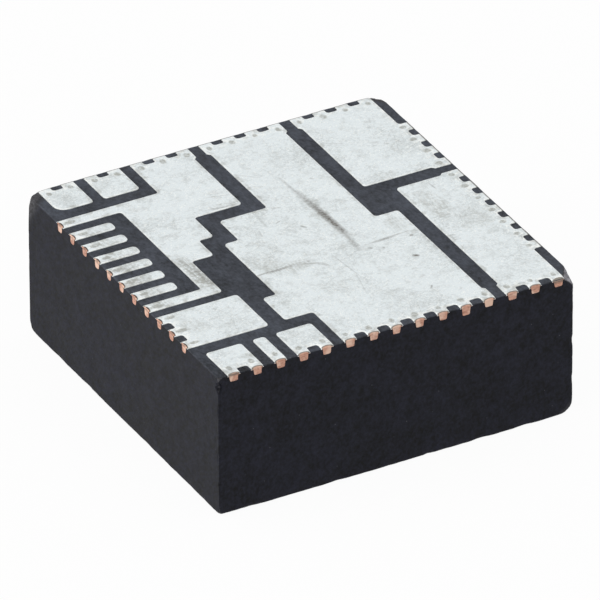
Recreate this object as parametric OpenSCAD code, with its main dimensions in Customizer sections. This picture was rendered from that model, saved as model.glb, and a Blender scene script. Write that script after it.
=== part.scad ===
// Moulded dc-dc converter module with leadless solder pads.
// It lies on the flat face of its mould, with the pads up. X runs along the front edge, Y runs from
// the front to the back and Z points up. The origin is the middle of the face that it lies on.
// Leads are counted from the middle of their side, so lead 0 is the middle one.

/* [Moulded body] */
// Width of the body along its front edge
body_w = 10; // [9.7:0.1:12]
// Depth of the body from front to back
body_d = 10; // [9.7:0.1:12]
// Height of the mould from its flat face to its solder face
body_h = 4; // [3.8:0.1:6]
// How far a broken corner tip is gone along the edges
tip_break = 0.3; // [0.1:0.02:0.5]
// Radius of the edges round the flat face
foot_r = 0.08; // [0.04:0.01:0.2]

/* [Lead frame] */
// Distance from one lead to the next
lead_pitch = 0.65; // [0.6:0.01:0.67]
// Width of a lead
lead_w = 0.35; // [0.28:0.01:0.42]
// Thickness of the lead frame
frame_t = 0.2; // [0.14:0.01:0.3]
// How far the plated pads stand out of the mould
pad_proud = 0.02; // [0.01:0.01:0.06]
// How far a pad draws in behind its outermost lead
pad_inset = 0.08; // [0.02:0.01:0.14]
// Length over which a lead keeps its full width
lead_run = 0.5; // [0.3:0.05:0.8]
// Depth of the notch between two leads of one pad
notch_depth = 0.22; // [0.16:0.01:0.3]
// Radius in the inner corners of a notch
notch_r = 0.07; // [0.04:0.01:0.12]
// Radius of the corners of a pad
pad_r = 0.09; // [0.04:0.01:0.14]
// Radius of the large corner of the corner pad at the back left
corner_r = 0.3; // [0.1:0.05:0.45]
// Length of the signal pads from the sawn side inwards
short_pad = 1.17; // [1.1:0.01:1.3]
// Mould between the outermost side leads and the short pads in front of and behind them
short_gap = 0.405; // [0.3:0.005:0.5]
// Least distance from the outermost lead of a side to the body's corner
corner_margin = 0.12; // [0.05:0.01:0.2]
// How much the etching narrows a lead at its inner face, on each side
etch = 0.035; // [0.01:0.005:0.06]
// Height of the etched flanks of a lead
etch_h = 0.13; // [0.08:0.01:0.13]

/* [Centre pad] */
// Distance of the upper step from the middle, along X
upper_x = 1.45; // [1.3:0.05:1.6]
// Height of the upper step on the pad plane, along Y
upper_y = 1.49; // [1.3:0.01:1.6]
// Distance of the middle step from the middle, along X
middle_x = 1.87; // [1.75:0.01:2]
// Height of the middle step on the pad plane, along Y
middle_y = 0.47; // [0.3:0.01:0.8]
// Distance of the lower step from the middle, along X
lower_x = 2.26; // [2.1:0.01:2.4]
// Distance of the lower step in front of the middle, along Y
lower_y = 2.24; // [1.9:0.01:2.6]
// Distance of the pad's left foot in front of the middle, along Y
foot_y = 3.39; // [3.1:0.01:3.7]
// Distance of the right shoulder in front of the middle, along Y
shoulder_y = 0.19; // [0:0.01:0.4]

/* [Angled pad] */
// Width of the narrow arm beside the signal pads, along X
arm_x = 0.41; // [0.27:0.01:0.57]
// Height of the narrow arm's shoulder on the pad plane, along Y
arm_y = 0.14; // [-0.2:0.01:0.3]

/* [Inductor] */
// Width of the ferrite core
core_w = 7.8; // [7.2:0.1:8.2]
// Depth of the ferrite core
core_d = 7.8; // [7.2:0.1:8.8]
// Radius of the core's upright corners
core_r = 0.6; // [0.2:0.1:1]
// Height of the core's cup
cup_h = 1.8; // [1.65:0.05:1.9]
// Thickness of the cup's floor
cup_floor = 0.5; // [0.3:0.05:0.6]
// Thickness of the plate that closes the cup
plate_t = 0.5; // [0.3:0.05:0.6]
// Radius of the centre post
post_r = 1.7; // [1.3:0.05:1.75]
// Magnetic gap between the centre post and the plate
post_gap = 0.1; // [0.05:0.01:0.2]
// Turns of the coil
turns = 4; // [2:1:4]
// Width of the coil's flat wire
wire_w = 1.2; // [0.9:0.05:1.3]
// Thickness of the coil's flat wire
wire_t = 0.18; // [0.12:0.01:0.2]
// Space between two turns
turn_gap = 0.04; // [0.02:0.01:0.06]
// Clearance of the coil in its core
coil_clear = 0.1; // [0.05:0.01:0.15]
// Clearance of the coil's legs outside the core
leg_clear = 0.1; // [0.05:0.01:0.2]
// Length of the coil's soldered feet
coil_foot = 0.6; // [0.4:0.05:0.7]
// Distance from the lead frame to the core
standoff = 1.02; // [1:0.01:1.1]

/* [Dies and clips] */
// Width and depth of the controller die
controller_w = 1.3; // [1:0.05:1.35]
// Thickness of the controller die
controller_t = 0.22; // [0.1:0.01:0.25]
// Thickness of the film that holds the controller die
attach_t = 0.03; // [0.02:0.01:0.05]
// Width of the low-side switch die
low_w = 2.6; // [2.4:0.1:3]
// Depth of the low-side switch die
low_d = 2.75; // [2.6:0.05:2.8]
// Distance of the low-side switch die's front edge in front of the middle, along Y
low_y = 2.85; // [2.8:0.01:2.9]
// Strip of the low-side switch die that the clip leaves free for the gate's wire
gate_strip = 0.45; // [0.35:0.05:0.5]
// Width and depth of the high-side switch die
high_w = 1.3; // [1.2:0.05:1.5]
// Thickness of the switch dies
switch_t = 0.15; // [0.1:0.01:0.17]
// Thickness of the copper clips
clip_t = 0.15; // [0.1:0.01:0.17]
// Width of the switch clip's arm
switch_arm_w = 0.9; // [0.6:0.05:0.95]
// Width of the input clip
input_clip_w = 0.65; // [0.4:0.05:0.65]
// Length of the clips' soldered feet
clip_foot = 0.5; // [0.3:0.05:0.5]
// Distance of the dies, clips and feet from the edge of what carries them
margin = 0.1; // [0.06:0.01:0.12]
// Thickness of the solder joints
solder_t = 0.04; // [0.02:0.01:0.05]

/* [Chip parts] */
// Length of the power capacitors
power_cap_l = 1.6; // [1.4:0.05:1.7]
// Width and height of the power capacitors
power_cap_w = 0.8; // [0.6:0.05:0.85]
// Length of the power capacitors' plated ends
power_end = 0.35; // [0.25:0.05:0.35]
// Length of the small capacitors and the resistors
small_l = 1; // [0.9:0.05:1.05]
// Width of the small capacitors and the resistors
small_w = 0.5; // [0.3:0.05:0.5]
// Length of the small parts' plated ends
small_end = 0.25; // [0.15:0.05:0.25]
// Height of the resistors
resistor_h = 0.35; // [0.25:0.05:0.5]
// Thickness of the plating on the ends
plating = 0.03; // [0.02:0.01:0.05]

/* [Bond wires] */
// Diameter of the bond wires
bond_d = 0.05; // [0.03:0.005:0.06]
// Depth of the wires' loops
bond_sag = 0.26; // [0.15:0.01:0.3]
// Distance of the bonds from the edge of their die or pad
bond_edge = 0.08; // [0.06:0.01:0.1]

/* [Hidden] */
$fn = 48;

// The pads' visible face and the inner face of the lead frame
pad_z = body_h + pad_proud;
frame_z = pad_z - frame_t;

// Mould that parts two islands: a gap between leads and the draw-in on both sides
island_gap = lead_pitch - lead_w + 2 * pad_inset;
// Inner side of the long bar that closes off the signal pads
bar_x = short_pad + island_gap - body_w / 2;

// Outermost lead in front and behind: as many leads as fit between the corners
last_lead = floor((body_w / 2 - corner_margin - lead_w / 2) / lead_pitch);
// How many leads some pads have on a side
signal_count = 6;
side_pad_count = 3;
right_count = 3;
back_right_count = 4;
// Outermost lead of the sides, and the lead below the signal pads
last_side_lead = (signal_count + side_pad_count + 1) / 2;
arm_lead = last_side_lead - signal_count - 1;
// First leads in front and behind, counted in from the corners
angled_from = 4 - last_lead;
centre_from = 5 - last_lead;
right_from = last_lead + 1 - right_count;
back_right_from = last_lead + 1 - back_right_count;
back_right_side_from = last_side_lead + 1 - back_right_count;
// Inner ends of the short pads in front and behind
short_y = hi(last_side_lead) + short_gap;

// Core, coil and legs
core_h = cup_h + plate_t;
core_z = frame_z - standoff - core_h;
coil_r = post_r + coil_clear + wire_w / 2;
window_r = coil_r + wire_w / 2 + coil_clear;
turn_pitch = wire_t + turn_gap;
coil_z = core_z + cup_floor + coil_clear;
steps_per_turn = 36;
bend_r = 0.1;

// Heights of the stack that hangs from the lead frame
low_z = frame_z - solder_t - switch_t;
switch_clip_z = low_z - solder_t - clip_t;
high_z = switch_clip_z - solder_t - switch_t;
input_clip_z = high_z - solder_t - clip_t;
clip_foot_z = frame_z - solder_t - clip_t;
controller_z = frame_z - attach_t - controller_t;

// Places of the dies on their islands: each is a corner, as x and y
controller_at = [bar_x + margin, hi(last_side_lead) - margin - controller_w];
low_at = [margin - middle_x, -low_y];
clip_at = low_at + [margin, margin];
clip_size = [low_w - 2 * margin, low_d - margin - gate_strip];
high_at = clip_at + [margin / 2, clip_size[1] - margin / 2 - high_w];
input_clip_x = hi(-1) - pad_inset - margin / 2 - input_clip_w;
input_clip_end = upper_y + island_gap + margin + clip_foot;

// Chip parts: length, width, height and length of an end
power_cap = [power_cap_l, power_cap_w, power_cap_w, power_end];
small_cap = [small_l, small_w, small_w, small_end];
resistor = [small_l, small_w, resistor_h, small_end];
// The rows keep clear of the wires' landings, the clip's foot and the sawn sides
landing_y = short_y + bond_edge;
back_row = (landing_y + bond_d + body_d / 2 - margin) / 2;
side_row = short_pad / 2 - body_w / 2;
input_cap_gap = (body_d / 2 - input_clip_end - 2 * power_cap_w) / 3;
input_cap_y = input_clip_end + input_cap_gap + power_cap_w / 2;
// Their places: x, y and turn. Each bridges two leads of different pads.
input_caps = [
    [at(-0.5), input_cap_y, 0],
    [at(-0.5), input_cap_y + power_cap_w + input_cap_gap, 0]
];
output_caps = [
    [at(back_right_from - 0.5), at(3), 0],
    [at(back_right_from - 0.5), at(5), 0],
    [at(right_from - 0.5), at(-1.5), 0],
    [at(right_from - 0.5), at(-6), 0]
];
small_caps = [
    [side_row, at(last_side_lead - 0.5), 90],
    [side_row, at(arm_lead + 0.5), 90]
];
resistor_places = [
    [at(angled_from - 2.5), back_row, 0],
    [at(angled_from - 0.5), back_row, 0],
    [at(centre_from - 2.5), -back_row, 0],
    [at(centre_from - 0.5), -back_row, 0]
];

// The mould's cut for a joint runs on this far into both neighbours
joint_lap = 0.01;

// Place of a lead's middle and its two sides along the body's side
function at(k) = k * lead_pitch;
function lo(k) = at(k) - lead_w / 2;
function hi(k) = at(k) + lead_w / 2;

// Leads first to last with the notches between them: along the side, depth from it, corner radius
function comb(first, last) = [
    for (k = [first:last]) each [
        if (k > first) [lo(k), notch_depth, notch_r],
        [lo(k), 0, 0],
        [hi(k), 0, 0],
        if (k < last) [hi(k), notch_depth, notch_r]
    ]
];

// The same points laid on one side of the body
function on_side(side, points) = [
    for (p = points)
        side == "front" ? [p[0], p[1] - body_d / 2, p[2]] :
        side == "back" ? [p[0], body_d / 2 - p[1], p[2]] :
        side == "left" ? [p[1] - body_w / 2, p[0], p[2]] :
        [body_w / 2 - p[1], p[0], p[2]]
];
function reversed(points) = [for (k = [len(points) - 1:-1:0]) points[k]];

// An outline with its corners rounded: each point is x, y and its corner's radius
function unit(v) = v / norm(v);
function xy(p) = [p[0], p[1]];
function turned(a, b) = a - b - 360 * round((a - b) / 360);
function arc(c, r, from, sweep, steps) = [
    for (k = [0:steps]) c + r * [cos(from + sweep * k / steps), sin(from + sweep * k / steps)]
];
function corner(before, p, after) =
    p[2] == 0 ? [xy(p)] :
    let (
        u = unit(xy(before) - xy(p)),
        v = unit(xy(after) - xy(p)),
        half = acos(u * v) / 2,
        c = xy(p) + unit(u + v) * p[2] / sin(half),
        s = xy(p) + u * p[2] / tan(half) - c,
        e = xy(p) + v * p[2] / tan(half) - c,
        from = atan2(s[1], s[0])
    )
    arc(c, p[2], from, turned(atan2(e[1], e[0]), from), 4);
function rounded(points) = [
    for (k = [0:len(points) - 1]) each corner(
        points[(k + len(points) - 1) % len(points)], points[k], points[(k + 1) % len(points)]
    )
];

// A plate with round upright corners
module rounded_plate(w, d, h, r) {
    linear_extrude(h) {
        square([w - 2 * r, d], center = true);
        square([w, d - 2 * r], center = true);
        for (x = [-1, 1], y = [-1, 1]) translate([x * (w / 2 - r), y * (d / 2 - r)]) circle(r);
    }
}

// Moves a shape drawn along the front side to any side, with Y pointing into the body
module to_side(side) {
    if (side == "front") translate([0, -body_d / 2, 0]) children();
    if (side == "back") translate([0, body_d / 2, 0]) mirror([0, 1, 0]) children();
    if (side == "left") translate([-body_w / 2, 0, 0]) mirror([1, -1, 0]) children();
    if (side == "right") translate([body_w / 2, 0, 0]) rotate([0, 0, 90]) children();
}

// What the etching takes off the lower flanks of the leads at the sawn sides
module etched_flanks(side, first, last) {
    over = 0.02;
    start_z = frame_z + etch_h;
    slope = etch / etch_h;
    to_side(side)
        for (k = [first:last], s = [0, 1])
            translate([at(k), 0, 0]) mirror([s, 0, 0])
                translate([0, notch_depth - notch_r, 0]) rotate([90, 0, 0])
                    linear_extrude(notch_depth - notch_r + over)
                        polygon([
                            [lead_w / 2, start_z],
                            [lead_w / 2 - etch - slope * over, frame_z - over],
                            [lead_w / 2 + over, frame_z - over],
                            [lead_w / 2 + over, start_z]
                        ]);
}

// One island of the lead frame. combs lists its leads: side, first lead and last lead.
module island(outline, combs) {
    color("#dfe3e2")
        difference() {
            translate([0, 0, frame_z]) linear_extrude(frame_t) polygon(rounded(outline));
            for (c = combs) etched_flanks(c[0], c[1], c[2]);
        }
}

// A short pad on leads first to last of one side, with its two inner corners' radii
module short_island(side, first, last, r_first = pad_r, r_last = pad_r) {
    run = side == "left" ? short_pad : body_d / 2 - short_y;
    ends = [[hi(last), run, r_last], [lo(first), run, r_first]];
    island(on_side(side, concat(comb(first, last), ends)), [[side, first, last]]);
}

module corner_pad_back_left() short_island("back", -last_lead, 1 - last_lead, corner_r, pad_r);
module double_pad_back_left() short_island("back", 2 - last_lead, 3 - last_lead);
module corner_pad_front_left() short_island("front", -last_lead, 1 - last_lead);
module slim_pad_front() short_island("front", 2 - last_lead, 2 - last_lead);
module double_pad_front() short_island("front", 3 - last_lead, 4 - last_lead);
module signal_pad(number) {
    k = last_side_lead - number;
    short_island("left", k, k, lead_w / 3, lead_w / 3);
}

// The pad of the switching node, on three leads of the left side
module side_pad() {
    inner_x = -lower_x - island_gap;
    first = -last_side_lead;
    last = arm_lead - 1;
    island(
        concat(
            on_side("left", comb(first, last)),
            [[inner_x, hi(last), pad_r], [inner_x, lo(first), pad_r]]
        ),
        [["left", first, last]]
    );
}

// Runs from the back side round the signal pads to the left side
module angled_pad() {
    draw_y = body_d / 2 - lead_run;
    island(
        concat(
            on_side("back", comb(angled_from, -1)),
            [
                [hi(-1), draw_y, 0],
                [hi(-1) - pad_inset, draw_y - pad_inset, 0],
                [hi(-1) - pad_inset, upper_y + island_gap, pad_r],
                [-upper_x - island_gap, upper_y + island_gap, pad_r],
                [-upper_x - island_gap, middle_y + island_gap, pad_r],
                [-middle_x - island_gap, middle_y + island_gap, pad_r],
                [-middle_x - island_gap, arm_y, pad_r],
                [bar_x + arm_x, arm_y, pad_r],
                [bar_x + arm_x, lo(arm_lead), pad_r]
            ],
            on_side("left", comb(arm_lead, arm_lead)),
            [[bar_x, hi(arm_lead), pad_r], [bar_x, lo(last_side_lead), pad_r]],
            on_side("left", comb(last_side_lead, last_side_lead)),
            [[lo(angled_from), hi(last_side_lead), pad_r]]
        ),
        [
            ["back", angled_from, -1],
            ["left", arm_lead, arm_lead],
            ["left", last_side_lead, last_side_lead]
        ]
    );
}

// The largest pad, on seven leads in front and four behind
module centre_pad() {
    draw_y = body_d / 2 - lead_run;
    front_x = hi(right_from - 1);
    back_x = hi(back_right_from - 1);
    island(
        concat(
            on_side("front", comb(centre_from, right_from - 1)),
            [
                [front_x, -draw_y, 0],
                [front_x - pad_inset, pad_inset - draw_y, 0],
                [front_x - pad_inset, -shoulder_y, pad_r],
                [back_x - pad_inset, -shoulder_y, pad_r],
                [back_x - pad_inset, draw_y - pad_inset, 0],
                [back_x, draw_y, 0]
            ],
            reversed(on_side("back", comb(0, back_right_from - 1))),
            [
                [lo(0), draw_y, 0],
                [lo(0) + pad_inset, draw_y - pad_inset, 0],
                [lo(0) + pad_inset, upper_y, pad_r],
                [-upper_x, upper_y, pad_r],
                [-upper_x, middle_y, pad_r],
                [-middle_x, middle_y, pad_r],
                [-middle_x, -lower_y, pad_r],
                [-lower_x, -lower_y, pad_r],
                [-lower_x, -foot_y, pad_r],
                [lo(centre_from), -foot_y, pad_r]
            ]
        ),
        [["front", centre_from, right_from - 1], ["back", 0, back_right_from - 1]]
    );
}

// The output pad at the front right corner
module right_pad() {
    draw_x = body_w / 2 - lead_run;
    draw_y = body_d / 2 - lead_run;
    last = back_right_side_from - 1;
    left_x = lo(right_from);
    island(
        concat(
            on_side("right", comb(-last_side_lead, last)),
            [
                [draw_x, hi(last), 0],
                [draw_x - pad_inset, hi(last) - pad_inset, 0],
                [left_x + pad_inset, hi(last) - pad_inset, pad_r],
                [left_x + pad_inset, pad_inset - draw_y, 0],
                [left_x, -draw_y, 0]
            ],
            on_side("front", comb(right_from, last_lead)),
            [[hi(last_lead), lo(-last_side_lead), pad_r]]
        ),
        [["right", -last_side_lead, last], ["front", right_from, last_lead]]
    );
}

// The output pad at the back right corner
module back_right_pad() {
    draw_x = body_w / 2 - lead_run;
    draw_y = body_d / 2 - lead_run;
    left_x = lo(back_right_from);
    front_y = lo(back_right_side_from);
    island(
        concat(
            on_side("right", comb(back_right_side_from, last_side_lead)),
            [[hi(last_lead), hi(last_side_lead), pad_r]],
            reversed(on_side("back", comb(back_right_from, last_lead))),
            [
                [left_x, draw_y, 0],
                [left_x + pad_inset, draw_y - pad_inset, 0],
                [left_x + pad_inset, front_y + pad_inset, pad_r],
                [draw_x - pad_inset, front_y + pad_inset, 0],
                [draw_x, front_y, 0]
            ]
        ),
        [["right", back_right_side_from, last_side_lead], ["back", back_right_from, last_lead]]
    );
}

module lead_frame() {
    corner_pad_back_left();
    double_pad_back_left();
    angled_pad();
    for (n = [1:signal_count]) signal_pad(n);
    side_pad();
    corner_pad_front_left();
    slim_pad_front();
    double_pad_front();
    centre_pad();
    right_pad();
    back_right_pad();
}

// The ferrite cup: a square pot with a round centre post and two slots for the coil's tails
module inductor_core_cup() {
    slot_w = wire_w + coil_clear;
    left_slot_z = coil_z - coil_clear / 2;
    right_slot_z = coil_z + turns * turn_pitch - coil_clear / 2;
    color("#4a4c50")
        translate([0, 0, core_z])
            difference() {
                rounded_plate(core_w, core_d, cup_h, core_r);
                translate([0, 0, cup_floor]) difference() {
                    cylinder(r = window_r, h = cup_h);
                    translate([0, 0, -1]) cylinder(r = post_r, h = cup_h - cup_floor - post_gap + 1);
                }
                translate([-core_w, -coil_r - slot_w / 2, left_slot_z - core_z])
                    cube([core_w, slot_w, cup_h]);
                translate([0, -coil_r - slot_w / 2, right_slot_z - core_z])
                    cube([core_w, slot_w, cup_h]);
            }
}

module inductor_core_plate() {
    color("#54565a")
        translate([0, 0, core_z + cup_h]) rounded_plate(core_w, core_d, plate_t, core_r);
}

// A tail of the coil: straight out of the core at height z, up beside it and in under its pad.
// It is drawn towards +X.
module coil_leg(z) {
    out_x = core_w / 2 + leg_clear;
    top_z = frame_z - solder_t;
    translate([0, wire_w / 2 - coil_r, 0]) rotate([90, 0, 0])
        linear_extrude(wire_w)
            polygon(rounded([
                [0, z, 0],
                [out_x + wire_t, z, bend_r + wire_t],
                [out_x + wire_t, top_z, bend_r + wire_t],
                [out_x + wire_t - coil_foot, top_z, 0],
                [out_x + wire_t - coil_foot, top_z - wire_t, 0],
                [out_x, top_z - wire_t, bend_r],
                [out_x, z + wire_t, bend_r],
                [0, z + wire_t, 0]
            ]));
}

// The turns: a flat strip on edge that climbs one pitch a turn, from the front of the core
module coil_turns() {
    count = turns * steps_per_turn;
    points = [
        for (k = [0:count])
            let (a = -90 + 360 * k / steps_per_turn, z = coil_z + turn_pitch * k / steps_per_turn)
                for (p = [[-1, 0], [1, 0], [1, 1], [-1, 1]])
                    [
                        (coil_r + p[0] * wire_w / 2) * cos(a),
                        (coil_r + p[0] * wire_w / 2) * sin(a),
                        z + p[1] * wire_t
                    ]
    ];
    sides = [
        for (k = [0:count - 1], s = [0:3])
            let (a = 4 * k + s, b = 4 * k + (s + 1) % 4) [a, b, b + 4, a + 4]
    ];
    polyhedron(points, concat([[3, 2, 1, 0]], sides, [[for (s = [0:3]) 4 * count + s]]));
}

module inductor_coil() {
    color("#b5663a") {
        coil_turns();
        mirror([1, 0, 0]) coil_leg(coil_z);
        coil_leg(coil_z + turns * turn_pitch);
    }
}

module controller_die() {
    color("#6f7a86")
        translate([controller_at[0], controller_at[1], controller_z])
            cube([controller_w, controller_w, controller_t]);
}

// lap is how far the mould's cut for a joint runs on into both of its neighbours
module die_attach_film(lap = 0) {
    color("#d8d2c0")
        translate([controller_at[0], controller_at[1], frame_z - attach_t - lap])
            cube([controller_w, controller_w, attach_t + 2 * lap]);
}

module low_side_switch_die() {
    color("#7b8794") translate([low_at[0], low_at[1], low_z]) cube([low_w, low_d, switch_t]);
}

module high_side_switch_die() {
    color("#8792a0") translate([high_at[0], high_at[1], high_z]) cube([high_w, high_w, switch_t]);
}

// Strip with a joggle: flat at height z from 0 to run, then up to the foot's height
module joggled_strip(z, run, reach, width) {
    rise = clip_foot_z - z;
    rotate([90, 0, 0]) linear_extrude(width, center = true)
        polygon([
            [0, z],
            [run, z],
            [run + rise, clip_foot_z],
            [reach, clip_foot_z],
            [reach, clip_foot_z + clip_t],
            [run + rise - clip_t / 2, clip_foot_z + clip_t],
            [run - clip_t / 2, z + clip_t],
            [0, z + clip_t]
        ]);
}

// The copper clip from the low-side die to the side pad
module switch_clip() {
    arm_y = clip_at[1] + switch_arm_w / 2;
    foot_x = lower_x + island_gap + margin + clip_foot;
    start_x = clip_at[0] + clip_size[0];
    color("#c47a4a") {
        translate([clip_at[0], clip_at[1], switch_clip_z]) cube([clip_size[0], clip_size[1], clip_t]);
        translate([start_x, arm_y, 0]) mirror([1, 0, 0])
            joggled_strip(
                switch_clip_z, start_x + lower_x + margin, start_x + foot_x, switch_arm_w
            );
    }
}

// The copper clip from the high-side die to the angled pad
module input_clip() {
    start_y = high_at[1] + margin;
    color("#c9814f")
        translate([input_clip_x + input_clip_w / 2, start_y, 0]) rotate([0, 0, 90])
            joggled_strip(
                input_clip_z, upper_y - 2 * margin - start_y, input_clip_end - start_y, input_clip_w
            );
}

// Chip parts hang under the lead frame. size is length, width, height and end length.
module at_places(places) {
    for (p = places) translate([p[0], p[1], frame_z - solder_t]) rotate([0, 0, p[2]]) children();
}
module chip_body(size) {
    translate([0, 0, -size[2] / 2])
        cube([size[0] - 2 * plating, size[1] - 2 * plating, size[2] - 2 * plating], center = true);
}
module chip_ends(size) {
    difference() {
        for (s = [-1, 1])
            translate([s * (size[0] - size[3]) / 2, 0, -size[2] / 2])
                cube([size[3], size[1], size[2]], center = true);
        chip_body(size);
    }
}
module chip_solder(size, lap) {
    for (s = [-1, 1])
        translate([s * (size[0] - size[3]) / 2, 0, solder_t / 2])
            cube([size[3], size[1], solder_t + 2 * lap], center = true);
}

module input_capacitors() color("#b98f62") at_places(input_caps) chip_body(power_cap);
module input_capacitor_ends() color("#c8cbcc") at_places(input_caps) chip_ends(power_cap);
module output_capacitors() color("#b08a60") at_places(output_caps) chip_body(power_cap);
module output_capacitor_ends() color("#c8cbcc") at_places(output_caps) chip_ends(power_cap);
module small_capacitors() color("#c39a6d") at_places(small_caps) chip_body(small_cap);
module small_capacitor_ends() color("#c8cbcc") at_places(small_caps) chip_ends(small_cap);
module resistors() color("#2f3338") at_places(resistor_places) chip_body(resistor);
module resistor_ends() color("#c8cbcc") at_places(resistor_places) chip_ends(resistor);

// A bond wire from one face to another, both facing down: a round arc with a ball at its start
// and a stitch at its end
module bond_wire(start, end, lap) {
    ball_d = 2.4 * bond_d;
    ball_h = 1.2 * bond_d;
    stitch_d = 2 * bond_d;
    level = ball_h / 2;
    a = start - [0, 0, level];
    b = end - [0, 0, level];
    flat = norm([b[0] - a[0], b[1] - a[1]]);
    tilt = atan2(b[2] - a[2], flat);
    half = 2 * atan(2 * bond_sag / norm(b - a));
    r = norm(b - a) / 2 / sin(half);
    middle = [flat / 2 - r * cos(half) * sin(tilt), (b[2] - a[2]) / 2 + r * cos(half) * cos(tilt)];
    translate(a) rotate([0, 0, atan2(b[1] - a[1], b[0] - a[0])])
        rotate([90, 0, 0]) translate([middle[0], middle[1], 0])
            rotate([0, 0, tilt - half - 90])
                rotate_extrude(angle = 2 * half) translate([r, 0]) circle(d = bond_d);
    translate(start - [0, 0, ball_h]) cylinder(d = ball_d, h = ball_h + lap);
    translate(end - [0, 0, ball_h]) cylinder(d = stitch_d, h = ball_h + lap);
}

module bond_wires(lap = 0) {
    per_edge = signal_count / 2;
    left_x = controller_at[0] + bond_edge;
    right_x = controller_at[0] + controller_w - bond_edge;
    front_y = controller_at[1] + bond_edge;
    back_y = controller_at[1] + controller_w - bond_edge;
    // Bonds on the left edge and on the front edge, which has the two gates' as well
    left_step = (back_y - front_y) / (per_edge + 1);
    front_step = (right_x - left_x) / (per_edge + 1);
    landing_x = short_pad - 2 * bond_edge - body_w / 2;
    corner_x = at(0.5 - last_lead);
    double_x = at(2.5 - last_lead);
    color("#d9b45c") {
        // The signal pads' wires, half from the left edge and half from the front edge
        for (n = [1:per_edge]) {
            bond_wire(
                [left_x, back_y - n * left_step, controller_z],
                [landing_x, at(last_side_lead - n), frame_z], lap
            );
            bond_wire(
                [left_x + (n - 1) * front_step, front_y, controller_z],
                [landing_x, at(last_side_lead - per_edge - n), frame_z], lap
            );
        }
        // To the two pads at the back left
        bond_wire([left_x, back_y, controller_z], [corner_x, landing_y, frame_z], lap);
        bond_wire([double_x, back_y, controller_z], [double_x, landing_y + bond_edge, frame_z], lap);
        // To the gates of the switch dies
        bond_wire(
            [left_x + per_edge * front_step, front_y, controller_z],
            [low_at[0] + bond_edge, low_at[1] + low_d - 2 * bond_edge, low_z], lap
        );
        bond_wire(
            [right_x, front_y, controller_z],
            [high_at[0] + bond_edge, high_at[1] + high_w - 2 * bond_edge, high_z], lap
        );
    }
}

// Solder between two faces, as a thin plate that ends at height top
module solder_plate(x, y, w, d, top, lap) {
    translate([x, y, top - solder_t - lap]) cube([w, d, solder_t + 2 * lap]);
}

module solder_joints(lap = 0) {
    leg_x = core_w / 2 + leg_clear + wire_t - coil_foot;
    leg_y = -coil_r - wire_w / 2;
    foot_x = -lower_x - island_gap - margin - clip_foot;
    color("#aeb4b8") {
        solder_plate(low_at[0], low_at[1], low_w, low_d, frame_z, lap);
        solder_plate(clip_at[0], clip_at[1], clip_size[0], clip_size[1], low_z, lap);
        solder_plate(high_at[0], high_at[1], high_w, high_w, switch_clip_z, lap);
        solder_plate(
            input_clip_x, high_at[1] + margin, input_clip_w, high_w - 2 * margin, high_z, lap
        );
        solder_plate(foot_x, clip_at[1], clip_foot, switch_arm_w, frame_z, lap);
        solder_plate(
            input_clip_x, input_clip_end - clip_foot, input_clip_w, clip_foot, frame_z, lap
        );
        for (s = [0, 1]) mirror([s, 0, 0])
            solder_plate(leg_x, leg_y, coil_foot - bend_r - wire_t, wire_w, frame_z, lap);
        at_places(concat(input_caps, output_caps)) chip_solder(power_cap, lap);
        at_places(concat(small_caps, resistor_places)) chip_solder(resistor, lap);
    }
}

// Takes a corner tip off the block: the plane cuts the three edges at the distances in cut.
// sides gives the corner, as -1 or 1 along X, Y and Z.
module tip_cut(sides, cut) {
    normal = [sides[0] / cut[0], sides[1] / cut[1], sides[2] / cut[2]];
    depth = 1 / norm(normal);
    size = 4 * max(cut);
    translate([sides[0] * body_w / 2, sides[1] * body_d / 2, sides[2] > 0 ? body_h : 0])
        rotate([0, acos(normal[2] / norm(normal)), atan2(normal[1], normal[0])])
            translate([-size / 2, -size / 2, -depth]) cube([size, size, size]);
}

// Rounds the lower edge of a side that is so long, drawn along the front side
module foot_cut(length) {
    over = 0.02;
    side = foot_r + over;
    difference() {
        translate([-length / 2 - over, -over, -over]) cube([length + 2 * over, side, side]);
        translate([-length / 2 - 2 * over, foot_r, foot_r]) rotate([0, 90, 0])
            cylinder(r = foot_r, h = length + 4 * over);
    }
}

// The sawn block. Its corner tips are broken as on the real one, most at the solder face.
module mould_block() {
    difference() {
        translate([-body_w / 2, -body_d / 2, 0]) cube([body_w, body_d, body_h]);
        for (side = ["front", "back"]) to_side(side) foot_cut(body_w);
        for (side = ["left", "right"]) to_side(side) foot_cut(body_d);
        tip_cut([-1, 1, 1], tip_break * [0.8, 0.7, 1.7]);
        tip_cut([1, -1, 1], tip_break * [0.9, 1.6, 0.85]);
        tip_cut([1, 1, 1], tip_break * [0.9, 1, 0.6]);
        tip_cut([-1, -1, 1], tip_break * [0.6, 0.35, 0.5]);
        tip_cut([1, -1, -1], tip_break * [0.95, 1.1, 0.8]);
        tip_cut([-1, 1, -1], tip_break * [0.65, 0.8, 0.75]);
        tip_cut([-1, -1, -1], tip_break * [0.5, 0.3, 0.4]);
        tip_cut([1, 1, -1], tip_break * [0.4, 0.35, 0.35]);
    }
}

// All that the compound flows round, with the closed core as one block
module sealed_pieces() {
    translate([0, 0, core_z]) rounded_plate(core_w, core_d, core_h, core_r);
    mirror([1, 0, 0]) coil_leg(coil_z);
    coil_leg(coil_z + turns * turn_pitch);
    controller_die();
    die_attach_film(joint_lap);
    low_side_switch_die();
    high_side_switch_die();
    switch_clip();
    input_clip();
    input_capacitors();
    input_capacitor_ends();
    output_capacitors();
    output_capacitor_ends();
    small_capacitors();
    small_capacitor_ends();
    resistors();
    resistor_ends();
    bond_wires(joint_lap);
    solder_joints(joint_lap);
}

module moulded_body() {
    color("#2c2d32")
        difference() {
            mould_block();
            lead_frame();
            sealed_pieces();
        }
}

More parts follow.
